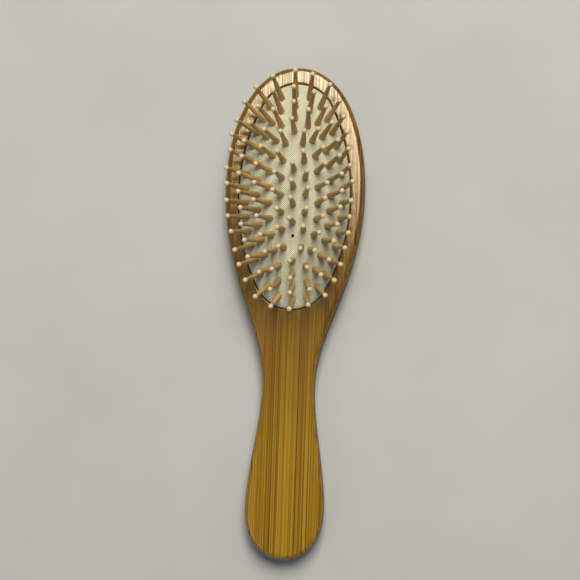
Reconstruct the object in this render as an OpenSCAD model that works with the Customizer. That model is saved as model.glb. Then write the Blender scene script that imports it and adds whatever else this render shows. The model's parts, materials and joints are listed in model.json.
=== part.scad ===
// Oval cushion brush: one bamboo handle body, an air cushion faced with woven cloth, a backing
// sheet behind the pin heads, and ball-tipped wooden pins set in concentric oval rings.
// The brush lies on its back: +Y runs from the handle to the top of the head, +Z is the way the
// pins stand, and the origin is the middle of the flat back face.

/* [Handle body] */
// Whole length, from the handle's end to the top of the head
body_len = 222; // [215:1:230]
// Thickness of the board
body_t = 12; // [11:0.5:14]
// Half the width of the head at its widest
head_half_w = 31.6; // [30.5:0.1:33]
// Half the width of the waist
waist_half_w = 11.7; // [10:0.1:14]
// Half the width of the handle at its widest
grip_half_w = 17.5; // [15:0.1:19]
// Radius of the rounded edges
edge_r = 2.5; // [1.5:0.25:4]

/* [Cushion] */
// Half the width of the cushion
pad_half_w = 25.1; // [25:0.05:25.4]
// Half the length of the cushion
pad_half_l = 51.2; // [51:0.1:52]
// Radius of the cushion's two ends
pad_end_r = 17; // [16:0.5:18]
// How far the middle of the cushion stands over its edge
dome_h = 6.8; // [6:0.1:7.2]
// Thickness of the rubber
rubber_t = 1.6; // [1.2:0.1:1.8]
// Thickness of the woven cloth that faces the rubber
cloth_t = 0.4; // [0.3:0.05:0.5]
// Gap between the cushion and the wall of its pocket
pocket_gap = 0.35; // [0.2:0.05:0.5]
// Thickness of wood left under the pocket
floor_t = 3.8; // [3:0.1:4.5]

/* [Pins] */
// Pins in the outermost ring; each ring inside it has ring_drop fewer
outer_count = 34; // [28:2:34]
// Height of the ball's centre above the cloth, along the pin
pin_len = 16.4; // [14:0.1:18]
// Radius of the straight foot of the shaft
shaft_r = 1.45; // [1.3:0.05:1.5]
// Radius of the neck under the ball
neck_r = 0.75; // [0.65:0.05:0.9]
// Radius of the ball tip
ball_r = 1.15; // [1:0.05:1.4]
// Radius of the flat head under the rubber
foot_r = 1.8; // [1.7:0.05:1.9]
// How far the pins lean sideways at the cushion's sides: sideways run over height
side_lean = 0.44; // [0.35:0.01:0.46]
// How far the pins lean along the brush at its two ends: run over height
end_lean = 0.475; // [0.4:0.005:0.5]

/* [Hidden] */
// Heights over the back face
top_z = body_t;
lip = 0.3;
crest_z = top_z + lip + dome_h;
// The cushion's middle lies this far from the middle of the body
pad_y = 51.8;
// The glued faces of the rubber and the cloth stand this far apart
glue = 0.05;

// Heads hang this far under the rubber, and the backing sheet this far under the cloth
foot_gap = 0.7;
foot_t = 0.8;
backing_top = 4.1;
backing_t = 0.6;
backing_inset = 3.5;

// Rim flange of the rubber and the groove that holds it
flange_w = 1;
flange_t = 1.4;
flange_z = 7.6;
groove_play = 0.1;

// The dome is a slice of a torus: one radius across the cushion and a larger one along it
function bow_radius(half, rise) = (half * half + rise * rise) / (2 * rise);
across_r = bow_radius(pad_half_w, dome_h);
along_r = bow_radius(pad_half_l, dome_h);
dome_sector = 36;

// Rings of pins: half-widths and half-lengths shrink by a step each
ring_y = 51.5;
ring_count = 4;
ring_drop = 6;
ring_half_w = 21.6;
ring_half_l = 46.3;
ring_step_w = 5.4;
ring_step_l = 5.75;
ring_end_share = 0.64;
// Past this far from the middle line, the pins lean sideways no further
lean_reach = 16.3;
// The pins lean this share further at the top of the head, and as much less at the handle end
lean_bias = 0.2;
// A row of pins down the middle, with the vent hole a little below the last
mid_first = 11.6;
mid_pitch = 7.9;
mid_count = 4;
vent_gap = 6.4;
vent_r = 0.75;
hole_play = 0.05;

// The pins are grouped in rows across the brush, which rock together
row_count = 23;
row_pitch = 2 * ring_half_l / (row_count - 1);
row_names = [for (i = [1:row_count]) str("pin_row_", i < 10 ? "0" : "", i)];

bamboo = [0.72, 0.53, 0.27];
pin_wood = [0.78, 0.6, 0.38];
cream = [0.86, 0.84, 0.74];

// ---- An oval of four arcs, each tangent to the next ----

// Radius of the long side arcs of an oval
function side_radius(w, l, r) = (w * w + (l - r) * (l - r) - r * r) / (2 * (w - r));

// Turn of an end arc, from the oval's tip to where a side arc takes over
function end_turn(w, l, r) = atan2(side_radius(w, l, r) - w, l - r);

// Half of the oval's right side, as arc lengths: [end arc, side arc]
function arc_lengths(w, l, r) =
    let (turn = end_turn(w, l, r))
    [r * turn * PI / 180, side_radius(w, l, r) * (90 - turn) * PI / 180];

// A point on the upper right quarter, s along it from the tip
function quarter_point(w, l, r, s) =
    let (side = side_radius(w, l, r), turn = end_turn(w, l, r), first = arc_lengths(w, l, r)[0])
    s <= first
        ? let (a = s / r * 180 / PI) [r * sin(a), l - r + r * cos(a)]
        : let (a = turn + (s - first) / side * 180 / PI) [w - side + side * sin(a), side * cos(a)];

// A point on the whole oval, a share f of the way round, clockwise from the top
function oval_point(w, l, r, f) =
    let (
        lengths = arc_lengths(w, l, r),
        quarter = lengths[0] + lengths[1],
        turn = f * 4,
        q = min(floor(turn), 3),
        along = (turn - q) * quarter
    )
    q == 0 ? quarter_point(w, l, r, along)
    : q == 1 ? let (p = quarter_point(w, l, r, quarter - along)) [p[0], -p[1]]
    : q == 2 ? let (p = quarter_point(w, l, r, along)) [-p[0], -p[1]]
    : let (p = quarter_point(w, l, r, quarter - along)) [-p[0], p[1]];

// The cushion's outline, grown by a margin, as a plate between two heights
oval_sides = 96;
module pad_plate(grow, z0, z1) {
    outline = [
        for (i = [0:oval_sides - 1])
            oval_point(pad_half_w + grow, pad_half_l + grow, pad_end_r + grow, i / oval_sides)
    ];
    translate([0, pad_y, z0]) linear_extrude(z1 - z0) polygon(outline);
}

// Everything below the dome's surface, sunk by a depth, over the length of the cushion
module below_dome(depth) {
    ring = along_r - across_r;
    bow = across_r - depth;
    reach = pad_half_w + 3;
    translate([0, pad_y, crest_z - along_r])
        rotate([90, 0, 90])
            rotate([0, 0, 90 - dome_sector / 2])
                rotate_extrude(angle = dome_sector, $fn = 180)
                    translate([ring, 0])
                        intersection() {
                            circle(bow, $fn = 180);
                            translate([bow - 22, -reach]) square([22, 2 * reach]);
                        }
}

// Height of the dome's surface over the back face
function dome_z(x, y) =
    let (swing = along_r - across_r + sqrt(across_r * across_r - x * x))
    crest_z - along_r + sqrt(swing * swing - (y - pad_y) * (y - pad_y));

// ---- Where the pins stand: [x, y, lean, compass direction of the lean] ----

// A pin at x and y leans away from the middle of the cushion
function pin_at(x, y) =
    let (
        along = (y - ring_y) / ring_half_l,
        out = norm([x / ring_half_w, along]),
        more = 1 + lean_bias * along,
        aside = side_lean * pow(sin(90 * min(abs(x) / lean_reach, 1)), 2) * sign(x) * more,
        ahead = end_lean * along * out * more
    )
    [x, y, atan(norm([aside, ahead])), atan2(aside, ahead)];

function ring_pins(k) =
    let (
        n = outer_count - ring_drop * k,
        w = ring_half_w - ring_step_w * k,
        l = ring_half_l - ring_step_l * k
    )
    [for (i = [0:n - 1]) let (p = oval_point(w, l, ring_end_share * w, i / n)) pin_at(p[0], ring_y + p[1])];

middle_pins = [for (i = [0:mid_count - 1]) pin_at(0, ring_y + mid_first - mid_pitch * i)];
vent_y = ring_y + mid_first - mid_pitch * (mid_count - 1) - vent_gap;

pins = concat([for (k = [0:ring_count - 1]) each ring_pins(k)], middle_pins);
function row_of(pin) = round((ring_y + ring_half_l - pin[1]) / row_pitch);

// Puts children at a pin's root on the cloth, with +Z along the pin
module at_pin(pin) {
    translate([pin[0], pin[1], dome_z(pin[0], pin[1])])
        rotate([0, 0, -pin[3]]) rotate([-pin[2], 0, 0]) children();
}

// ---- Sub-parts ----

// One point of a cubic curve with four control points
function bezier(c, t) =
    let (u = 1 - t)
    u * u * u * c[0] + 3 * u * u * t * c[1] + 3 * u * t * t * c[2] + t * t * t * c[3];

// Its direction there
function bezier_way(c, t) =
    let (u = 1 - t)
    u * u * (c[1] - c[0]) + 2 * u * t * (c[2] - c[1]) + t * t * (c[3] - c[2]);

// The right side of the board, from the top of the head to the handle's end
half_len = body_len / 2;
head_y = 55;
neck = [18.7, -3];
neck_way = [0.355, 0.935];
waist_y = -34;
grip_y = -89;
side_curves = [
    [[0, half_len], [21, half_len], [head_half_w, head_y + 29], [head_half_w, head_y]],
    [[head_half_w, head_y], [head_half_w, head_y - 22], neck + 20 * neck_way, neck],
    [neck, neck - 10 * neck_way, [waist_half_w, waist_y + 11], [waist_half_w, waist_y]],
    [[waist_half_w, waist_y], [waist_half_w, waist_y - 18], [grip_half_w, grip_y + 18], [grip_half_w, grip_y]],
    [[grip_half_w, grip_y], [grip_half_w, grip_y - 13.2], [10.5, -half_len], [0, -half_len]]
];
curve_steps = 14;
side_points = concat(
    [for (c = side_curves) for (i = [0:curve_steps - 1]) bezier(c, i / curve_steps)],
    [[0, -half_len]]
);
function outward(c, t) = let (d = bezier_way(c, t)) [-d[1], d[0]] / norm(d);
side_normals = concat(
    [for (c = side_curves) for (i = [0:curve_steps - 1]) outward(c, i / curve_steps)],
    [[0, -1]]
);

// The board as a skin: its outline drawn at each height, pulled in where the edges are rounded
edge_steps = 6;
edge_levels = concat(
    [for (i = [0:edge_steps]) let (a = 90 * i / edge_steps) [edge_r * (1 - sin(a)), edge_r * (1 - cos(a))]],
    [for (i = [0:edge_steps]) let (a = 90 * i / edge_steps)
        [edge_r * (1 - cos(a)), body_t - edge_r + edge_r * sin(a)]]
);

module board() {
    last = len(side_points) - 1;
    around = 2 * last;
    function ring_point(i, pull) =
        i <= last
            ? side_points[i] - pull * side_normals[i]
            : let (p = side_points[around - i] - pull * side_normals[around - i]) [-p[0], p[1]];
    levels = len(edge_levels);
    points = [
        for (level = edge_levels) for (i = [0:around - 1])
            let (p = ring_point(i, level[0])) [p[0], p[1], level[1]]
    ];
    walls = [
        for (j = [0:levels - 2]) for (i = [0:around - 1])
            let (next = (i + 1) % around)
            [j * around + i, j * around + next, (j + 1) * around + next, (j + 1) * around + i]
    ];
    // A flat cap is a ladder of quads from side to side, with a triangle at each end
    function cap(base, flip) = [
        for (i = [0:last - 1])
            let (quad = [
                base + i,
                base + i + 1,
                if (i + 1 < last) base + around - i - 1,
                if (i > 0) base + around - i
            ])
            flip ? [for (k = [len(quad) - 1:-1:0]) quad[k]] : quad
    ];
    polyhedron(points, concat(walls, cap(0, true), cap((levels - 1) * around, false)), convexity = 6);
}

module handle_body() {
    color(bamboo) difference() {
        board();
        pad_plate(pocket_gap, floor_t, top_z + 1);
        pad_plate(flange_w + groove_play, flange_z - groove_play, flange_z + flange_t + groove_play);
    }
}

// Clearance holes for every pin, and the vent
module pin_holes() {
    for (pin = pins) at_pin(pin) translate([0, 0, -5]) cylinder(h = 8, r = shaft_r + hole_play, $fn = 32);
    translate([0, vent_y, crest_z - 6]) cylinder(h = 9, r = vent_r, $fn = 32);
}

module rubber_cushion() {
    skin = cloth_t + glue;
    color(cream) difference() {
        union() {
            intersection() {
                pad_plate(-skin, flange_z, crest_z + 1);
                below_dome(skin);
            }
            pad_plate(flange_w, flange_z, flange_z + flange_t);
        }
        intersection() {
            pad_plate(-skin - rubber_t, flange_z - 1, crest_z + 1);
            below_dome(skin + rubber_t);
        }
        pin_holes();
    }
}

module cloth_facing() {
    bottom = flange_z + flange_t + glue;
    color(cream) difference() {
        intersection() {
            pad_plate(0, bottom, crest_z + 1);
            below_dome(0);
        }
        intersection() {
            pad_plate(-cloth_t, bottom - 1, crest_z + 1);
            below_dome(cloth_t);
        }
        pin_holes();
    }
}

module pin_backing() {
    color("dimgray") difference() {
        intersection() {
            pad_plate(-backing_inset, floor_t, crest_z);
            below_dome(backing_top);
        }
        below_dome(backing_top + backing_t);
    }
}

// A turned pin: flat head under the rubber, straight foot, tapered shaft and ball tip
ball_steps = 6;
module turned_pin() {
    foot_top = -(cloth_t + glue + rubber_t + foot_gap);
    straight = 0.8;
    neck_angle = asin(neck_r / ball_r);
    ball = [
        for (i = [0:ball_steps])
            let (a = 180 - neck_angle - (180 - neck_angle) * i / ball_steps)
            [ball_r * sin(a), pin_len + ball_r * cos(a)]
    ];
    profile = concat(
        [
            [0, foot_top - foot_t],
            [foot_r, foot_top - foot_t],
            [foot_r, foot_top],
            [shaft_r, foot_top],
            [shaft_r, straight]
        ],
        [for (p = ball) [max(p[0], 0), p[1]]]
    );
    rotate_extrude($fn = 32) polygon(profile);
}

module pin_row(row) {
    color(pin_wood) for (pin = pins) if (row_of(pin) == row) at_pin(pin) turned_pin();
}

handle_body();
rubber_cushion();
cloth_facing();
pin_backing();
for (i = [0:row_count - 1]) pin_row(i);
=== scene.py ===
"""Oval cushion brush with ball-tipped wooden pins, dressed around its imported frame.

The brush lies on its back: +Y runs from the handle to the top of the head and +Z is the way the
pins stand. The classes that model a shape hold millimetres and scale by MM as they build; the finishes
and the studio hold metres.
"""

from __future__ import annotations

import json
import logging
import math
import random
from dataclasses import dataclass, field
from enum import Enum
from typing import Callable, Iterable, Sequence

import bmesh
import bpy
from mathutils import Matrix, Vector

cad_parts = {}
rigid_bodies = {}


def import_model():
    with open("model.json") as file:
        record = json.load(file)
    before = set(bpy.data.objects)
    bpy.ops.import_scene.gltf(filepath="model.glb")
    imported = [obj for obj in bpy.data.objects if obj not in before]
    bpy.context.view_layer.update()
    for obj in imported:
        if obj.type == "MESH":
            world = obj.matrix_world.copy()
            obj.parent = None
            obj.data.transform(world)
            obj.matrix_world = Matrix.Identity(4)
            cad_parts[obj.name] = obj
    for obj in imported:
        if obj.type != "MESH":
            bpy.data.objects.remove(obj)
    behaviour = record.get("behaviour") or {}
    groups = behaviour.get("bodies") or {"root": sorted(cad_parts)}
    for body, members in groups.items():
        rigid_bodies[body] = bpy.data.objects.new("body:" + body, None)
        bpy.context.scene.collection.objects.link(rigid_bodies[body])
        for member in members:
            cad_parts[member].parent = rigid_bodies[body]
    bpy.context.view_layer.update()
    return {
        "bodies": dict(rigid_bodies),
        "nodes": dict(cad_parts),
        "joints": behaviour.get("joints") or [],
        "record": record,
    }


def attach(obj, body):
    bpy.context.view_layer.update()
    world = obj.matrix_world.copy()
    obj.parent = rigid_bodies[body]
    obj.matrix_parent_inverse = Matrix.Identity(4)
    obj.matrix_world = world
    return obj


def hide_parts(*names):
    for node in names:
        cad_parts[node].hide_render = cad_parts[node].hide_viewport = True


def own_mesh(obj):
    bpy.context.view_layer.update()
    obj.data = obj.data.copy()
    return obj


LOG = logging.getLogger("brush")
MM = 0.001

Point = tuple[float, float]
Ring = list[Vector]
Colour = tuple[float, float, float, float]


class Slot(Enum):
    """Finishes that the record names."""

    BAMBOO = "bamboo"
    RUBBER = "rubber"
    CLOTH = "woven_cloth"
    BACKING = "backing_sheet"
    PIN_WOOD = "pin_wood"


# ---------------------------------------------------------------------------------------------
# Outlines
# ---------------------------------------------------------------------------------------------


@dataclass(frozen=True)
class Oval:
    """An oval of four arcs, each tangent to the next, in millimetres round its own middle."""

    half_w: float
    half_l: float
    end_r: float

    @property
    def side_r(self) -> float:
        """Radius of the two long side arcs."""
        w, run, r = self.half_w, self.half_l - self.end_r, self.end_r
        return (w * w + run * run - r * r) / (2 * (w - r))

    @property
    def end_turn(self) -> float:
        """Angle through which an end arc runs before a side arc takes over."""
        return math.atan2(self.side_r - self.half_w, self.half_l - self.end_r)

    def grown(self, margin: float) -> Oval:
        """The same oval with a margin all round it."""
        return Oval(self.half_w + margin, self.half_l + margin, self.end_r + margin)

    def _quarter(self, along: float) -> Point:
        """A point on the upper right quarter, at a length along it from the tip."""
        side, turn, first = self.side_r, self.end_turn, self.end_r * self.end_turn
        if along <= first:
            a = along / self.end_r
            return self.end_r * math.sin(a), self.half_l - self.end_r + self.end_r * math.cos(a)
        a = turn + (along - first) / side
        return self.half_w - side + side * math.sin(a), side * math.cos(a)

    def at(self, share: float) -> Point:
        """A point on the oval, clockwise from its top.

        Args:
            share: How far round, from 0 to 1, by length.

        Returns:
            The point, in millimetres.
        """
        quarter = self.end_r * self.end_turn + self.side_r * (math.pi / 2 - self.end_turn)
        turn = share * 4
        q = min(int(turn), 3)
        along = (turn - q) * quarter
        x, y = self._quarter(along if q in (0, 2) else quarter - along)
        return (x if q < 2 else -x), (y if q in (0, 3) else -y)

    def reach(self, angle: float) -> float:
        """How far the oval reaches in a direction, as a share of the ellipse of the same size.

        Args:
            angle: Direction on the unit circle that the ellipse is stretched from.

        Returns:
            The share, near 1.
        """
        dx, dy = abs(self.half_w * math.cos(angle)), abs(self.half_l * math.sin(angle))
        size = math.hypot(dx, dy)
        ux, uy = dx / size, dy / size

        def hit(cx: float, cy: float, r: float) -> float:
            """How far out the ray meets a circle."""
            along = ux * cx + uy * cy
            off = cx * cx + cy * cy - along * along
            return along + math.sqrt(max(r * r - off, 0.0))

        side = hit(self.half_w - self.side_r, 0.0, self.side_r)
        end_start = (self.half_l - self.end_r) * self.side_r / (self.side_r - self.end_r)
        if side * uy <= end_start:
            return side / size
        return hit(0.0, self.half_l - self.end_r, self.end_r) / size


@dataclass(frozen=True)
class BoardOutline:
    """The board's outline: five cubic curves down its right side, mirrored, in millimetres."""

    half_len: float = 111.0
    head_half_w: float = 31.6
    waist_half_w: float = 11.7
    grip_half_w: float = 17.5
    head_y: float = 55.0
    neck: Point = (18.7, -3.0)
    neck_way: Point = (0.355, 0.935)
    waist_y: float = -34.0
    grip_y: float = -89.0

    def curves(self) -> list[list[Vector]]:
        """The control points of the five curves, from the top of the head down."""
        top, end = self.half_len, -self.half_len
        neck, way = Vector(self.neck), Vector(self.neck_way)
        head, waist, grip = self.head_half_w, self.waist_half_w, self.grip_half_w
        rows = [
            [(0, top), (21, top), (head, self.head_y + 29), (head, self.head_y)],
            [(head, self.head_y), (head, self.head_y - 22), neck + 20 * way, neck],
            [neck, neck - 10 * way, (waist, self.waist_y + 11), (waist, self.waist_y)],
            [(waist, self.waist_y), (waist, self.waist_y - 18), (grip, self.grip_y + 18), (grip, self.grip_y)],
            [(grip, self.grip_y), (grip, self.grip_y - 13.2), (10.5, end), (0, end)],
        ]
        return [[Vector(p) for p in row] for row in rows]

    def ring(self, steps: int, z: float, pull: float = 0.0) -> Ring:
        """The closed outline at a height.

        Args:
            steps: Points along each curve.
            z: Height, in millimetres.
            pull: How far the outline is pulled in, in millimetres.

        Returns:
            The points, clockwise from the top, in metres.
        """
        side: list[Vector] = []
        for c in self.curves():
            for i in range(steps):
                t = i / steps
                u = 1 - t
                p = u**3 * c[0] + 3 * u * u * t * c[1] + 3 * u * t * t * c[2] + t**3 * c[3]
                d = u * u * (c[1] - c[0]) + 2 * u * t * (c[2] - c[1]) + t * t * (c[3] - c[2])
                side.append(p - pull * Vector((-d.y, d.x)).normalized())
        side.append(Vector((0, -self.half_len + pull)))
        points = side + [Vector((-p.x, p.y)) for p in side[-2:0:-1]]
        return [Vector((p.x, p.y, z)) * MM for p in points]


# ---------------------------------------------------------------------------------------------
# Shaping with Blender's own operators
# ---------------------------------------------------------------------------------------------


def deselect() -> None:
    """Leaves nothing selected."""
    if bpy.context.object and bpy.context.object.mode != "OBJECT":
        bpy.ops.object.mode_set(mode="OBJECT")
    bpy.ops.object.select_all(action="DESELECT")


def take(obj: bpy.types.Object) -> None:
    """Makes an object the only one selected, and the active one."""
    deselect()
    obj.select_set(True)
    bpy.context.view_layer.objects.active = obj


def name_piece(obj: bpy.types.Object, name: str) -> bpy.types.Object:
    """Names an object and its mesh."""
    obj.name = name
    obj.data.name = name
    return obj


def loft(name: str, rings: Sequence[Ring]) -> bpy.types.Object:
    """Draws the first ring as a filled circle and extrudes it through the others.

    Args:
        name: Name of the piece.
        rings: Rings of as many points each, in metres.

    Returns:
        The closed skin, with its faces pointing outwards.
    """
    deselect()
    bpy.ops.mesh.primitive_circle_add(vertices=len(rings[0]), radius=0.01, fill_type="NGON")
    obj = name_piece(bpy.context.object, name)
    bpy.ops.object.mode_set(mode="EDIT")
    mesh = bmesh.from_edit_mesh(obj.data)
    order = mesh.verts.layers.int.new("order")
    for i, vertex in enumerate(mesh.verts):
        vertex[order] = i
        vertex.co = rings[0][i]
    bmesh.update_edit_mesh(obj.data)
    bpy.ops.mesh.select_all(action="SELECT")
    for ring in rings[1:]:
        bpy.ops.mesh.extrude_region_move(TRANSFORM_OT_translate={"value": (0, 0, MM)})
        mesh = bmesh.from_edit_mesh(obj.data)
        order = mesh.verts.layers.int["order"]
        for vertex in mesh.verts:
            if vertex.select:
                vertex.co = ring[vertex[order]]
        bmesh.update_edit_mesh(obj.data)
    bpy.ops.mesh.select_all(action="SELECT")
    bpy.ops.mesh.normals_make_consistent(inside=False)
    bpy.ops.object.mode_set(mode="OBJECT")
    obj.data.attributes.remove(obj.data.attributes["order"])
    return obj


def select_in_edit(obj: bpy.types.Object, faces: Callable[[bmesh.types.BMFace], bool]) -> None:
    """Enters edit mode with only the faces that pass a test selected."""
    take(obj)
    bpy.ops.object.mode_set(mode="EDIT")
    bpy.ops.mesh.select_mode(type="FACE")
    bpy.ops.mesh.select_all(action="DESELECT")
    mesh = bmesh.from_edit_mesh(obj.data)
    for face in mesh.faces:
        face.select_set(faces(face))
    bmesh.update_edit_mesh(obj.data)


def smooth(obj: bpy.types.Object, degrees: float) -> None:
    """Shades an object smooth, with creases where faces meet at more than an angle."""
    take(obj)
    bpy.ops.object.shade_smooth_by_angle(angle=math.radians(degrees))


def cut(obj: bpy.types.Object, cutter: bpy.types.Object) -> None:
    """Takes a cutter's volume out of an object, and deletes the cutter."""
    take(obj)
    modifier = obj.modifiers.new("cut", "BOOLEAN")
    modifier.operation = "DIFFERENCE"
    modifier.solver = "EXACT"
    modifier.object = cutter
    bpy.ops.object.modifier_apply(modifier=modifier.name)
    bpy.data.objects.remove(cutter, do_unlink=True)


# ---------------------------------------------------------------------------------------------
# Shader graph shorthand
# ---------------------------------------------------------------------------------------------


class Graph:
    """A material's node tree, with short ways to add and join nodes."""

    def __init__(self, name: str) -> None:
        """Starts an empty tree with a shader and an output."""
        self.material = bpy.data.materials.new(name)
        self.material.use_nodes = True
        self.tree = self.material.node_tree
        self.tree.nodes.clear()
        self.shader = self.add("ShaderNodeBsdfPrincipled")
        output = self.add("ShaderNodeOutputMaterial")
        self.join(self.shader.outputs["BSDF"], output.inputs["Surface"])

    def add(self, kind: str, **settings: object) -> bpy.types.Node:
        """Adds a node and sets its properties."""
        node = self.tree.nodes.new(kind)
        for key, value in settings.items():
            setattr(node, key, value)
        return node

    def join(self, source: bpy.types.NodeSocket, target: bpy.types.NodeSocket) -> None:
        """Links one socket to another."""
        self.tree.links.new(source, target)

    def put(self, target: bpy.types.NodeSocket, value: object) -> None:
        """Links a socket, or sets a plain value, on an input."""
        if isinstance(value, bpy.types.NodeSocket):
            self.join(value, target)
        else:
            target.default_value = value

    def math(self, operation: str, *values: object, clamp: bool = False) -> bpy.types.NodeSocket:
        """A Math node's result."""
        node = self.add("ShaderNodeMath", operation=operation, use_clamp=clamp)
        for target, value in zip(node.inputs, values):
            self.put(target, value)
        return node.outputs[0]

    def object_space(self) -> bpy.types.NodeSocket:
        """Object coordinates, in metres."""
        return self.add("ShaderNodeTexCoord").outputs["Object"]

    def stretch(
        self, source: bpy.types.NodeSocket, scale: Sequence[float], turn: Sequence[float] = (0, 0, 0)
    ) -> bpy.types.NodeSocket:
        """Coordinates turned and then scaled."""
        node = self.add("ShaderNodeMapping", vector_type="TEXTURE")
        node.inputs["Rotation"].default_value = turn
        node.inputs["Scale"].default_value = [1 / s for s in scale]
        self.join(source, node.inputs["Vector"])
        return node.outputs[0]

    def noise(
        self, source: bpy.types.NodeSocket, scale: float = 1.0, detail: float = 3.0, roughness: float = 0.5
    ) -> bpy.types.NodeSocket:
        """A noise texture's value, from 0 to 1."""
        node = self.add("ShaderNodeTexNoise")
        self.join(source, node.inputs["Vector"])
        node.inputs["Scale"].default_value = scale
        node.inputs["Detail"].default_value = detail
        node.inputs["Roughness"].default_value = roughness
        return node.outputs["Fac"]

    def ramp(
        self, source: bpy.types.NodeSocket, stops: Iterable[tuple[float, Colour]]
    ) -> bpy.types.NodeSocket:
        """A colour ramp over a value."""
        node = self.add("ShaderNodeValToRGB")
        stops = list(stops)
        elements = node.color_ramp.elements
        while len(elements) < len(stops):
            elements.new(0.5)
        for element, (place, colour) in zip(elements, stops):
            element.position = place
            element.color = colour
        self.join(source, node.inputs["Fac"])
        return node.outputs["Color"]

    def span(
        self, source: bpy.types.NodeSocket, low: float, high: float, to_low: float = 0.0, to_high: float = 1.0
    ) -> bpy.types.NodeSocket:
        """A value carried from one range to another, held at its ends."""
        node = self.add("ShaderNodeMapRange", clamp=True)
        for key, value in (("From Min", low), ("From Max", high), ("To Min", to_low), ("To Max", to_high)):
            node.inputs[key].default_value = value
        self.join(source, node.inputs["Value"])
        return node.outputs["Result"]

    def blend(
        self, kind: str, share: object, first: object, second: object
    ) -> bpy.types.NodeSocket:
        """Two colours mixed."""
        node = self.add("ShaderNodeMix", data_type="RGBA", blend_type=kind)
        self.put(node.inputs["Factor"], share)
        self.put(node.inputs[6], first)
        self.put(node.inputs[7], second)
        return node.outputs[2]

    def bump(self, height: bpy.types.NodeSocket, depth: float, strength: float = 1.0) -> bpy.types.NodeSocket:
        """A normal from a height, joined to the shader."""
        node = self.add("ShaderNodeBump")
        node.inputs["Distance"].default_value = depth
        node.inputs["Strength"].default_value = strength
        self.join(height, node.inputs["Height"])
        self.join(node.outputs["Normal"], self.shader.inputs["Normal"])
        return node.outputs["Normal"]

    def split(self, source: bpy.types.NodeSocket) -> list[bpy.types.NodeSocket]:
        """The three parts of a vector."""
        node = self.add("ShaderNodeSeparateXYZ")
        self.join(source, node.inputs[0])
        return list(node.outputs)

    def vector(self, x: object, y: object, z: object) -> bpy.types.NodeSocket:
        """A vector from three parts."""
        node = self.add("ShaderNodeCombineXYZ")
        for target, value in zip(node.inputs, (x, y, z)):
            self.put(target, value)
        return node.outputs[0]

    def surface(self, **numbers: float) -> None:
        """Sets plain numbers on the shader; an underscore stands for a space."""
        for key, value in numbers.items():
            self.shader.inputs[key.replace("_", " ")].default_value = value


# ---------------------------------------------------------------------------------------------
# Finishes
# ---------------------------------------------------------------------------------------------


@dataclass(frozen=True)
class Grain:
    """One layer of fibres: cells to the metre across, along and through, and its share of the tone."""

    cells: tuple[float, float, float]
    share: float
    detail: float
    roughness: float = 0.5


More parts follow.
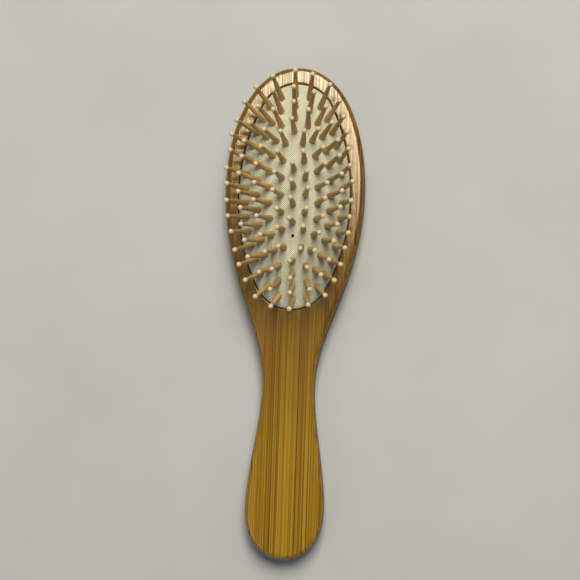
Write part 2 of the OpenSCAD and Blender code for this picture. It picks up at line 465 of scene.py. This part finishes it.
@dataclass(frozen=True)
class BambooFinish:
    """Lacquered bamboo: glued strips, each full of straight fibres along the brush."""

    strip: float = 6.4 * MM
    deep: Colour = (0.095, 0.042, 0.0, 1)
    dark: Colour = (0.18, 0.09, 0.0, 1)
    mid: Colour = (0.245, 0.135, 0.001, 1)
    pale: Colour = (0.34, 0.205, 0.012, 1)
    # Painted shade: multiplies the head and shoulder darker and more amber, from the waist up
    painted_head_shade: Colour = (0.64, 0.6, 0.3, 1)
    waist_y: tuple[float, float] = (-0.06, -0.004)
    # Painted shade on the side faces
    side: Colour = (0.6, 0.5, 0.4, 1)
    side_z: tuple[float, float] = (0.0088, 0.0112)
    back_z: tuple[float, float] = (0.0008, 0.0032)
    pocket: tuple[float, float, float] = (25.6 * MM, 51.7 * MM, 51.8 * MM)
    broad: Grain = Grain((260, 1.6, 160), 0.06, 1)
    fibres: Grain = Grain((1550, 1.8, 700), 0.46, 2, 0.7)
    fine: Grain = Grain((3000, 4, 1500), 0.48, 2, 0.8)
    strip_contrast: float = 0.05
    wander: float = 0.4 * MM
    glue_line: Colour = (0.45, 0.33, 0.16, 1)
    vessel: Colour = (0.5, 0.38, 0.22, 1)
    vessel_cells: tuple[float, float, float] = (1500, 60, 1500)

    def material(self) -> bpy.types.Material:
        """Builds the material."""
        g = Graph("lacquered_bamboo")
        space = g.object_space()
        x, y, z = g.split(space)
        # The fibres run along the brush and are thin both ways across it, so the sides show them cut open
        wander = g.noise(g.stretch(space, (9, 14, 9)), detail=1)
        across = g.math("ADD", x, g.math("MULTIPLY", wander, self.wander))
        grain = g.vector(across, y, z)
        place = g.math("DIVIDE", g.math("ADD", across, 0.1), self.strip)
        tone = g.add("ShaderNodeTexWhiteNoise", noise_dimensions="1D")
        g.join(g.math("FLOOR", place), tone.inputs["W"])
        layers = (self.broad, self.fibres, self.fine)
        broad, fibres, fine = (
            g.noise(g.stretch(grain, layer.cells), detail=layer.detail, roughness=layer.roughness) for layer in layers
        )
        mix = g.math("MULTIPLY", broad, self.broad.share)
        mix = g.math("ADD", mix, g.math("MULTIPLY", fibres, self.fibres.share))
        mix = g.math("ADD", mix, g.math("MULTIPLY", fine, self.fine.share))
        shade = g.math("SUBTRACT", tone.outputs["Value"], 0.5)
        mix = g.math("ADD", mix, g.math("MULTIPLY", shade, self.strip_contrast))
        colour = g.ramp(mix, [(0.37, self.deep), (0.45, self.dark), (0.505, self.mid), (0.6, self.pale)])
        # A thin dark glue line between strips
        edge = g.math("ABSOLUTE", g.math("SUBTRACT", g.math("FRACT", place), 0.5))
        line = g.span(edge, 0.47, 0.495, 0.0, 0.5)
        colour = g.blend("MULTIPLY", line, colour, self.glue_line)
        # Vessel bundles: short dark dashes along the fibres
        dashes = g.add("ShaderNodeTexVoronoi", feature="F1")
        g.join(g.stretch(grain, self.vessel_cells), dashes.inputs["Vector"])
        dashes.inputs["Scale"].default_value = 1.0
        dash = g.span(dashes.outputs["Distance"], 0.1, 0.3, 0.45, 0.0)
        colour = g.blend("MULTIPLY", dash, colour, self.vessel)
        # Painted shade: from the waist up into the head the wood is darkened to amber, for the shade that the pins and
        # the cushion cast there
        ragged = g.math("MULTIPLY", g.math("SUBTRACT", fibres, 0.5), 0.05)
        depth = g.span(g.math("ADD", y, ragged), *self.waist_y)
        colour = g.blend("MULTIPLY", depth, colour, self.painted_head_shade)
        # Painted shade: the sides are darkened, for the shade on faces that turn away from the light; they are also
        # far less glossy than the front and the back
        side = g.math("MULTIPLY", g.span(z, *self.side_z, 1.0, 0.0), g.span(z, *self.back_z))
        colour = g.blend("MULTIPLY", side, colour, self.side)
        g.join(colour, g.shader.inputs["Base Color"])
        g.join(g.span(fibres, 0.3, 0.7, 0.4, 0.55), g.shader.inputs["Roughness"])
        # The coat's weight follows the fibres, so that its gloss is streaky
        gloss = g.math("ADD", g.math("MULTIPLY", fibres, 0.5), g.math("MULTIPLY", fine, 0.5))
        # The pocket's mouth has next to no coat, so its rim draws no bright line
        half_w, half_l, middle_y = self.pocket
        over = g.math("POWER", g.math("DIVIDE", x, half_w), 2.0)
        along = g.math("POWER", g.math("DIVIDE", g.math("SUBTRACT", y, middle_y), half_l), 2.0)
        bare = g.span(g.math("SQRT", g.math("ADD", over, along)), 1.008, 1.022, 0.1, 1.0)
        face = g.math("MULTIPLY", bare, g.math("SUBTRACT", 1.0, g.math("MULTIPLY", side, 0.85)))
        coat = g.math("MULTIPLY", g.span(gloss, 0.4, 0.6, 0.35, 1.0), face)
        g.join(coat, g.shader.inputs["Coat Weight"])
        g.surface(Coat_Roughness=0.14, Coat_IOR=1.85, Specular_IOR_Level=0.05)
        normal = g.bump(mix, 0.00012, 0.7)
        g.join(normal, g.shader.inputs["Coat Normal"])
        return g.material


@dataclass(frozen=True)
class PinWoodFinish:
    """Turned pale hardwood; each pin has its own tone, and its ball tip is paler."""

    shaft: Colour = (0.56, 0.39, 0.165, 1)
    shaft_dark: Colour = (0.35, 0.225, 0.075, 1)
    tip: Colour = (0.62, 0.51, 0.33, 1)
    tip_start: float = 14.9 * MM
    tip_full: float = 16.0 * MM

    def material(self) -> bpy.types.Material:
        """Builds the material; it reads each pin's own coordinates from an attribute."""
        g = Graph("turned_pin_wood")
        own = g.add("ShaderNodeAttribute", attribute_name=PinRows.COORDINATES).outputs["Vector"]
        x, y, z = g.split(own)
        tone = g.add("ShaderNodeAttribute", attribute_name=PinRows.TONE).outputs["Fac"]
        fibres = g.noise(g.stretch(own, (2600, 2600, 160)), detail=3, roughness=0.6)
        level = g.math("ADD", g.math("MULTIPLY", fibres, 0.75), g.math("MULTIPLY", tone, 0.35))
        shaft = g.ramp(level, [(0.3, self.shaft_dark), (0.75, self.shaft)])
        tip = g.blend("MULTIPLY", 0.25, self.tip, g.ramp(fibres, [(0.3, (0.6, 0.5, 0.4, 1)), (0.7, (1, 1, 1, 1))]))
        height = g.span(z, self.tip_start, self.tip_full)
        g.join(g.blend("MIX", height, shaft, tip), g.shader.inputs["Base Color"])
        g.join(g.span(fibres, 0.3, 0.7, 0.42, 0.56), g.shader.inputs["Roughness"])
        g.surface(Coat_Weight=0.12, Coat_Roughness=0.35, Specular_IOR_Level=0.45)
        g.bump(fibres, 0.00003, 0.5)
        return g.material


@dataclass(frozen=True)
class ClothFinish:
    """Off-white plain-weave cloth, laid on the bias over rubber."""

    pitch: float = 0.62 * MM
    turn_degrees: float = 40.0
    thread: Colour = (0.83, 0.89, 0.8, 1)
    # Painted shade in the weave's low places
    painted_valley_shade: Colour = (0.09, 0.09, 0.05, 1)

    def material(self) -> bpy.types.Material:
        """Builds the material."""
        g = Graph("rubberised_cloth")
        space = g.object_space()
        turned = g.stretch(space, (1, 1, 1), (0, 0, math.radians(self.turn_degrees)))
        u, v, _ = g.split(turned)
        turns = math.pi / self.pitch
        warp = g.math("ABSOLUTE", g.math("SINE", g.math("MULTIPLY", u, turns)))
        weft = g.math("ABSOLUTE", g.math("SINE", g.math("MULTIPLY", v, turns)))
        # Which thread lies on top alternates from crossing to crossing
        cell_u = g.math("FLOOR", g.math("DIVIDE", u, self.pitch))
        cell_v = g.math("FLOOR", g.math("DIVIDE", v, self.pitch))
        over = g.math("MODULO", g.math("ABSOLUTE", g.math("ADD", cell_u, cell_v)), 2.0)
        under = g.math("SUBTRACT", 1.0, over)
        height = g.math(
            "ADD",
            g.math("MULTIPLY", over, g.math("MULTIPLY", warp, g.math("ADD", 0.45, g.math("MULTIPLY", weft, 0.55)))),
            g.math("MULTIPLY", under, g.math("MULTIPLY", weft, g.math("ADD", 0.45, g.math("MULTIPLY", warp, 0.55)))),
        )
        slub = g.noise(g.stretch(turned, (260, 2200, 1)), detail=2)
        cloud = g.noise(space, scale=90, detail=3)
        # Painted shade: the low places between the threads are coloured near black, for the shade that falls in the
        # weave
        colour = g.blend("MIX", g.span(height, 0.1, 0.7), self.painted_valley_shade, self.thread)
        shade = g.ramp(slub, [(0.3, (0.82, 0.8, 0.76, 1)), (0.65, (1, 1, 1, 1))])
        colour = g.blend("MULTIPLY", 0.6, colour, shade)
        stain = g.ramp(cloud, [(0.35, (0.88, 0.87, 0.8, 1)), (0.65, (1, 1, 1, 1))])
        colour = g.blend("MULTIPLY", 0.6, colour, stain)
        g.join(colour, g.shader.inputs["Base Color"])
        g.surface(Roughness=0.85, Sheen_Weight=0.15, Sheen_Roughness=0.5, Specular_IOR_Level=0.3)
        g.bump(height, 0.00012, 0.8)
        return g.material


@dataclass(frozen=True)
class SheetFinish:
    """A plain matt sheet with a little mottling: the felt behind the pin heads."""

    name: str = "felt_backing"
    colour: Colour = (0.09, 0.085, 0.075, 1)
    speck: Colour = (0.16, 0.15, 0.135, 1)

    def material(self) -> bpy.types.Material:
        """Builds the material."""
        g = Graph(self.name)
        fuzz = g.noise(g.object_space(), scale=1800, detail=4, roughness=0.7)
        g.join(g.ramp(fuzz, [(0.35, self.colour), (0.65, self.speck)]), g.shader.inputs["Base Color"])
        g.surface(Roughness=0.95, Specular_IOR_Level=0.2)
        g.bump(fuzz, 0.0001, 0.6)
        return g.material


# ---------------------------------------------------------------------------------------------
# Sub-assemblies
# ---------------------------------------------------------------------------------------------


@dataclass(frozen=True)
class Pad:
    """Shape that the cushion and its pocket share, in millimetres."""

    oval: Oval = Oval(25.1, 51.2, 17.0)
    middle_y: float = 51.8
    dome_h: float = 6.8
    lip: float = 0.3
    board_t: float = 12.0

    @property
    def crest_z(self) -> float:
        """Height of the dome's middle."""
        return self.board_t + self.lip + self.dome_h

    def dome_z(self, x: float, y: float) -> float:
        """Height of the dome over the back face, at a place on the board."""
        rise = self.dome_h
        across = (self.oval.half_w**2 + rise**2) / (2 * rise)
        along = (self.oval.half_l**2 + rise**2) / (2 * rise)
        swing = along - across + math.sqrt(across**2 - x * x)
        return self.crest_z - along + math.sqrt(swing**2 - (y - self.middle_y) ** 2)

    def ring(self, margin: float, z: float, sides: int) -> Ring:
        """The pad's outline with a margin, at a height, in metres."""
        oval = self.oval.grown(margin)
        points = (oval.at(i / sides) for i in range(sides))
        return [Vector((x, y + self.middle_y, z)) * MM for x, y in points]


@dataclass
class HandleBody:
    """The one-piece bamboo board: head with the cushion's pocket, waist and paddle handle."""

    pad: Pad
    outline: BoardOutline = field(default_factory=BoardOutline)
    edge_r: float = 2.5
    edge_segments: int = 8
    curve_steps: int = 26
    floor_t: float = 3.8
    pocket_gap: float = 0.35
    groove_z: tuple[float, float] = (7.5, 9.1)
    groove_w: float = 1.1
    mouth_r: float = 0.45

    def build(self) -> bpy.types.Object:
        """Models the board, cuts its pocket and dresses it.

        Returns:
            The finished board.
        """
        board = loft("board", [self.outline.ring(self.curve_steps, z) for z in (0.0, self.pad.board_t)])
        self._round_edges(board)
        cut(board, self._pocket())
        self._frame_flats(board)
        smooth(board, 28)
        board.data.materials.append(BambooFinish().material())
        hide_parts("handle_body")
        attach(board, "root")
        return board

    def _round_edges(self, board: bpy.types.Object) -> None:
        """Bevels the rims of both flat faces."""
        select_in_edit(board, lambda face: abs(face.normal.z) > 0.9)
        bpy.ops.mesh.region_to_loop()
        bpy.ops.mesh.bevel(
            offset=self.edge_r * MM, offset_type="OFFSET", segments=self.edge_segments, profile=0.5, affect="EDGES"
        )
        bpy.ops.object.mode_set(mode="OBJECT")

    def _frame_flats(self, board: bpy.types.Object) -> None:
        """Insets both flat faces a little, so that the rounded edges beside them don't tilt their shading."""
        select_in_edit(board, lambda face: abs(face.normal.z) > 0.9999 and not self._inside(face))
        bpy.ops.mesh.inset(thickness=0.3 * MM, use_boundary=True, use_even_offset=True)
        bpy.ops.object.mode_set(mode="OBJECT")

    def _inside(self, face: bmesh.types.BMFace) -> bool:
        """Whether a face lies inside the board's thickness, as the pocket's floor does."""
        return 0.5 < face.calc_center_median().z / MM < self.pad.board_t - 0.1

    def _pocket(self) -> bpy.types.Object:
        """The pocket's volume: straight wall, rim groove and a softened mouth."""
        top, gap = self.pad.board_t, self.pocket_gap
        levels = [
            (self.floor_t, gap),
            (self.groove_z[0], gap),
            (self.groove_z[0], self.groove_w),
            (self.groove_z[1], self.groove_w),
            (self.groove_z[1], gap),
            (top - self.mouth_r, gap),
        ]
        steps = 5
        for i in range(1, steps + 1):
            a = math.pi / 2 * i / steps
            levels.append((top - self.mouth_r * (1 - math.sin(a)), gap + self.mouth_r * (1 - math.cos(a))))
        levels.append((top + 2, gap + self.mouth_r + 0.01))
        return loft("pocket", [self.pad.ring(margin, z, 160) for z, margin in levels])


@dataclass
class PinLayout:
    """Where the pins stand: four oval rings and a row down the middle, in millimetres."""

    pad: Pad
    ring_y: float = 51.5
    ring_half_w: float = 21.6
    ring_half_l: float = 46.3
    step_w: float = 5.4
    step_l: float = 5.75
    end_share: float = 0.64
    ring_count: int = 4
    outer_count: int = 34
    ring_drop: int = 6
    mid_first: float = 11.6
    mid_pitch: float = 7.9
    mid_count: int = 4
    vent_gap: float = 6.4
    side_lean: float = 0.44
    end_lean: float = 0.475
    lean_reach: float = 16.3
    lean_bias: float = 0.2
    row_count: int = 23
    askew_degrees: float = 1.0
    drift_aside: float = -0.11
    drift_ahead: float = 0.027

    @property
    def vent(self) -> Point:
        """The vent hole's place, a little below the middle row."""
        return self.stand((0.0, self.ring_y + self.mid_first - self.mid_pitch * (self.mid_count - 1) - self.vent_gap))

    def roots(self) -> list[Point]:
        """Every pin's place on the cloth."""
        places: list[Point] = []
        for k in range(self.ring_count):
            w = self.ring_half_w - self.step_w * k
            oval = Oval(w, self.ring_half_l - self.step_l * k, self.end_share * w)
            count = self.outer_count - self.ring_drop * k
            for i in range(count):
                x, y = oval.at(i / count)
                places.append((x, y + self.ring_y))
        for i in range(self.mid_count):
            places.append((0.0, self.ring_y + self.mid_first - self.mid_pitch * i))
        return places

    def lean(self, place: Point) -> Vector:
        """The direction in which the pin at a place stands.

        The drift is the hand-set unevenness of the field: its sides lean a little to the left.

        Args:
            place: The pin's place in the even layout.

        Returns:
            The direction, of length 1.
        """
        x, y = place
        along, across = (y - self.ring_y) / self.ring_half_l, x / self.ring_half_w
        out = math.hypot(across, along)
        more = 1 + self.lean_bias * along
        reach = math.sin(math.pi / 2 * min(abs(x) / self.lean_reach, 1.0)) ** 2
        aside = math.copysign(self.side_lean * reach * more, x) + self.drift_aside * across**2 * (1 + along)
        ahead = self.end_lean * along * out * more + self.drift_ahead * across
        return Vector((aside, ahead, 1.0)).normalized()

    def stand(self, place: Point) -> Point:
        """Where a pin really stands: the whole field sits a shade askew in its pocket."""
        turn = math.radians(self.askew_degrees)
        x, y = place[0], place[1] - self.ring_y
        return x * math.cos(turn) - y * math.sin(turn), x * math.sin(turn) + y * math.cos(turn) + self.ring_y

    def row_of(self, place: Point) -> int:
        """The row that a pin belongs to, from 0 at the top of the head."""
        pitch = 2 * self.ring_half_l / (self.row_count - 1)
        return math.floor((self.ring_y + self.ring_half_l - place[1]) / pitch + 0.5)


@dataclass
class AirCushion:
    """The domed rubber cushion with its woven facing, as one padded skin."""

    pad: Pad
    layout: PinLayout
    cells: tuple[int, int] = (132, 236)
    dimple_depth: float = 0.28
    dimple_r: float = 1.9
    edge_drop: float = 0.7
    skirt_z: float = 9.2
    thickness: float = 1.9

    def build(self) -> bpy.types.Object:
        """Models the cushion and dresses it.

        Returns:
            The finished cushion.
        """
        cushion = self._dome()
        self._skirt(cushion)
        take(cushion)
        wall = cushion.modifiers.new("wall", "SOLIDIFY")
        wall.thickness = self.thickness * MM
        wall.offset = -1
        bpy.ops.object.modifier_apply(modifier=wall.name)
        cut(cushion, self._vent_punch())
        smooth(cushion, 40)
        cushion.data.materials.append(ClothFinish().material())
        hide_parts("rubber_cushion", "cloth_facing")
        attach(cushion, "root")
        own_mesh(cushion)
        return cushion

    def surface_z(self, x: float, y: float, roots: Sequence[Point]) -> float:
        """Height of the cloth: the dome, drawn in a little round each pin."""
        z = self.pad.dome_z(x, y)
        for rx, ry in roots:
            near = ((x - rx) ** 2 + (y - ry) ** 2) / self.dimple_r**2
            if near < 6:
                z -= self.dimple_depth * math.exp(-near)
        return z

    def _dome(self) -> bpy.types.Object:
        """A square grid, its corners rounded away, laid over the dome."""
        deselect()
        bpy.ops.mesh.primitive_grid_add(x_subdivisions=self.cells[0], y_subdivisions=self.cells[1], size=2)
        cushion = name_piece(bpy.context.object, "cushion")
        roots = [self.layout.stand(place) for place in self.layout.roots()]
        oval, middle = self.pad.oval, self.pad.middle_y
        for vertex in cushion.data.vertices:
            u, v = vertex.co.x, vertex.co.y
            dx, dy = u * math.sqrt(1 - v * v / 2), v * math.sqrt(1 - u * u / 2)
            reach = oval.reach(math.atan2(dy, dx)) if dx or dy else 1.0
            x, y = dx * oval.half_w * reach, dy * oval.half_l * reach + middle
            out = math.hypot(dx, dy)
            # The last millimetre turns down towards the skirt
            turn = max(0.0, (out - 0.955) / 0.045)
            z = self.surface_z(x, y, roots) - self.edge_drop * (1 - math.sqrt(max(0.0, 1 - turn * turn)))
            vertex.co = Vector((x, y, z)) * MM
        return cushion

    def _skirt(self, cushion: bpy.types.Object) -> None:
        """Draws the rim down into the pocket."""
        take(cushion)
        bpy.ops.object.mode_set(mode="EDIT")
        bpy.ops.mesh.select_all(action="SELECT")
        bpy.ops.mesh.region_to_loop()
        for share in (0.25, 0.6, 1.0):
            bpy.ops.mesh.extrude_edges_move(TRANSFORM_OT_translate={"value": (0, 0, -0.1 * MM)})
            mesh = bmesh.from_edit_mesh(cushion.data)
            for vertex in mesh.verts:
                if vertex.select:
                    vertex.co.z += (self.skirt_z * MM - vertex.co.z) * share
            bmesh.update_edit_mesh(cushion.data)
        bpy.ops.mesh.select_all(action="SELECT")
        bpy.ops.mesh.normals_make_consistent(inside=False)
        bpy.ops.object.mode_set(mode="OBJECT")
        if cushion.data.polygons[0].normal.z < 0:
            take(cushion)
            bpy.ops.object.mode_set(mode="EDIT")
            bpy.ops.mesh.select_all(action="SELECT")
            bpy.ops.mesh.flip_normals()
            bpy.ops.object.mode_set(mode="OBJECT")

    def _vent_punch(self) -> bpy.types.Object:
        """The round punch that opens the vent hole."""
        x, y = self.layout.vent
        rings = []
        for z in (-6.0, 6.0):
            angles = [2 * math.pi * i / 24 for i in range(24)]
            top = self.pad.crest_z + z
            rings.append([Vector((x + 0.75 * math.sin(a), y + 0.75 * math.cos(a), top)) * MM for a in angles])
        return loft("vent_punch", rings)


@dataclass
class PinRows:
    """The turned pins, one piece for each row that rocks together, in millimetres."""

    layout: PinLayout
    pin_len: float = 16.4
    shaft_r: float = 1.45
    neck_r: float = 0.75
    ball_r: float = 1.15
    foot_r: float = 1.65
    foot_top: float = -2.68
    foot_t: float = 0.8
    straight: float = 0.8
    sides: int = 16
    seed: int = 7
    stray_degrees: float = 1.6

    COORDINATES = "pin_place"
    TONE = "pin_tone"

    def build(self) -> list[bpy.types.Object]:
        """Turns one pin, copies it to every place and joins the copies row by row.

        Returns:
            The rows, from the top of the head down.
        """
        pattern = self._turn_pin()
        chance = random.Random(self.seed)
        material = PinWoodFinish().material()
        rows: list[list[bpy.types.Object]] = [[] for _ in range(self.layout.row_count)]
        for place in self.layout.roots():
            rows[self.layout.row_of(place)].append(self._copy(pattern, place, chance))
        bpy.data.objects.remove(pattern, do_unlink=True)
        pieces = []
        for i, copies in enumerate(rows, start=1):
            deselect()
            for copy in copies:
                copy.select_set(True)
            bpy.context.view_layer.objects.active = copies[0]
            bpy.ops.object.join()
            row = name_piece(bpy.context.object, f"pins_row_{i:02d}")
            row.data.materials.append(material)
            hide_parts(f"pin_row_{i:02d}")
            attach(row, f"pin_row_{i:02d}_pins")
            pieces.append(row)
        return pieces

    def profile(self) -> list[Point]:
        """The pin's outline as (radius, height), from the foot up."""
        foot, neck_angle = self.foot_top, math.asin(self.neck_r / self.ball_r)
        points = [
            (self.foot_r - 0.15, foot - self.foot_t),
            (self.foot_r, foot - self.foot_t + 0.15),
            (self.foot_r, foot - 0.1),
            (self.shaft_r, foot),
            (self.shaft_r, self.straight),
            (self.neck_r * 0.5 + self.shaft_r * 0.5, self.pin_len * 0.5),
        ]
        steps = 7
        for i in range(steps + 1):
            a = (math.pi - neck_angle) * (1 - i / steps)
            points.append((max(self.ball_r * math.sin(a), 0.12), self.pin_len + self.ball_r * math.cos(a)))
        return points

    def _turn_pin(self) -> bpy.types.Object:
        """One pin standing at the origin."""
        angles = [2 * math.pi * i / self.sides for i in range(self.sides)]
        rings = [[Vector((r * math.sin(a), r * math.cos(a), z)) * MM for a in angles] for r, z in self.profile()]
        pin = loft("pin", rings)
        smooth(pin, 50)
        return pin

    def _copy(self, pattern: bpy.types.Object, place: Point, chance: random.Random) -> bpy.types.Object:
        """A copy of the pin at its place, a hair off its true direction, with its own tone."""
        copy = pattern.copy()
        copy.data = pattern.data.copy()
        bpy.context.collection.objects.link(copy)
        shift = Vector((chance.uniform(0, 0.5), chance.uniform(0, 0.5), 0.0))
        tone = chance.random()
        mesh = copy.data
        own = mesh.attributes.new(self.COORDINATES, "FLOAT_VECTOR", "POINT")
        own.data.foreach_set("vector", [c for v in mesh.vertices for c in v.co + shift])
        tones = mesh.attributes.new(self.TONE, "FLOAT", "POINT")
        tones.data.foreach_set("value", [tone] * len(mesh.vertices))
        x, y = self.layout.stand(place)
        root = Vector((x, y, self.layout.pad.dome_z(x, y))) * MM
        stray = math.radians(self.stray_degrees)
        way = self.layout.lean(place) + Vector((chance.gauss(0, stray), chance.gauss(0, stray), 0.0))
        spin = Matrix.Rotation(chance.uniform(0, math.tau), 4, "Z")
        turn = way.to_track_quat("Z", "Y").to_matrix().to_4x4()
        mesh.transform(Matrix.Translation(root) @ turn @ spin)
        return copy


@dataclass
class Backing:
    """The felt sheet behind the pin heads, which the frame already holds."""

    def dress(self, frame: dict) -> bpy.types.Object:
        """Gives the frame's own sheet its finish."""
        sheet = frame["nodes"]["pin_backing"]
        sheet.data.materials.clear()
        sheet.data.materials.append(SheetFinish().material())
        return sheet


@dataclass(frozen=True)
class Lamp:
    """One square soft light: where it stands, what it faces, its side, its power and its colour."""

    name: str
    place: tuple[float, float, float]
    aim: tuple[float, float, float]
    size: float
    power: float
    colour: tuple[float, float, float]

    def build(self) -> None:
        """Adds the light."""
        data = bpy.data.lights.new(self.name, "AREA")
        data.shape = "SQUARE"
        data.size = self.size
        data.energy = self.power
        data.color = self.colour
        light = bpy.data.objects.new(self.name, data)
        bpy.context.collection.objects.link(light)
        light.location = self.place
        light.rotation_euler = (Vector(self.aim) - Vector(self.place)).to_track_quat("-Z", "Y").to_euler()


@dataclass
class Studio:
    """Pale floor, soft lights and the camera."""

    distance: float = 0.750
    aim: tuple[float, float, float] = (-0.0005, 0.0092, 0.012)
    dip: float = 0.0869
    swing: float = 0.0783
    roll: float = 0.035
    lens: float = 103.6
    sky: float = 0.13
    backdrop: float = 0.55
    window: Lamp = Lamp("window", (0.16, 0.68, 1.5), (0, 0.08, 0), 0.84, 30, (1.0, 0.87, 0.62))
    key: Lamp = Lamp("key", (0.12, 1.0, 1.05), (0, 0.03, 0), 0.35, 4.5, (1.0, 0.99, 0.96))
    fill: Lamp = Lamp("fill", (-0.9, -0.5, 1.0), (0, 0, 0), 0.8, 2, (0.9, 0.95, 1.0))

    def build(self) -> None:
        """Makes the floor, the lights and the camera."""
        self._floor()
        self._lights()
        self._camera()

    def _camera(self) -> None:
        """Puts the camera a little to the right of and below the brush's own normal."""
        back = Vector(
            (math.sin(self.swing) * math.cos(self.dip), -math.sin(self.dip), math.cos(self.swing) * math.cos(self.dip))
        )
        right = Vector((0, 1, 0)).cross(back).normalized()
        up = back.cross(right)
        turned_right = math.cos(self.roll) * right + math.sin(self.roll) * up
        turned_up = math.cos(self.roll) * up - math.sin(self.roll) * right
        data = bpy.data.cameras.new("camera")
        data.lens = self.lens
        data.sensor_width = 36.0
        data.clip_start = 0.01
        camera = bpy.data.objects.new("camera", data)
        bpy.context.collection.objects.link(camera)
        turn = Matrix((turned_right, turned_up, back)).transposed().to_4x4()
        camera.matrix_world = Matrix.Translation(Vector(self.aim) + back * self.distance) @ turn
        bpy.context.scene.camera = camera

    def _floor(self) -> None:
        """A pale, faintly mottled floor under the brush."""
        deselect()
        bpy.ops.mesh.primitive_plane_add(size=6, location=(0, 0, 0))
        floor = name_piece(bpy.context.object, "floor")
        g = Graph("pale_floor")
        mottle = g.noise(g.object_space(), scale=14, detail=4)
        g.join(
            g.ramp(mottle, [(0.3, (0.395, 0.43, 0.49, 1)), (0.7, (0.43, 0.465, 0.53, 1))]),
            g.shader.inputs["Base Color"],
        )
        g.surface(Roughness=0.9, Specular_IOR_Level=0.2)
        floor.data.materials.append(g.material)

    def _lights(self) -> None:
        """A warm window high past the head, a key beyond the head's end, and an even sky."""
        world = bpy.data.worlds.new("sky")
        world.use_nodes = True
        sky = world.node_tree.nodes["Background"]
        sky.inputs["Color"].default_value = (0.96, 0.98, 1.0, 1)
        # The backdrop is seen brighter than it lights
        path = world.node_tree.nodes.new("ShaderNodeLightPath")
        seen = world.node_tree.nodes.new("ShaderNodeMath")
        seen.operation = "MULTIPLY_ADD"
        seen.inputs[1].default_value = self.backdrop - self.sky
        seen.inputs[2].default_value = self.sky
        world.node_tree.links.new(path.outputs["Is Camera Ray"], seen.inputs[0])
        world.node_tree.links.new(seen.outputs[0], sky.inputs["Strength"])
        bpy.context.scene.world = world
        for lamp in (self.window, self.key, self.fill):
            lamp.build()


def main() -> None:
    """Builds the brush around its frame, piece by piece."""
    logging.basicConfig(level=logging.INFO, format="%(name)s: %(message)s")
    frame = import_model()
    bpy.context.scene.view_settings.view_transform = "Standard"
    pad = Pad()
    layout = PinLayout(pad)
    Studio().build()
    board = HandleBody(pad).build()
    LOG.info("handle body: %d faces", len(board.data.polygons))
    cushion = AirCushion(pad, layout).build()
    LOG.info("cushion: %d faces", len(cushion.data.polygons))
    rows = PinRows(layout).build()
    LOG.info("pins: %d rows, %d faces in the first", len(rows), len(rows[0].data.polygons))
    backing = Backing().dress(frame)
    LOG.info("backing sheet: %s", backing.name)
    deselect()


if __name__ == "__main__":
    main()
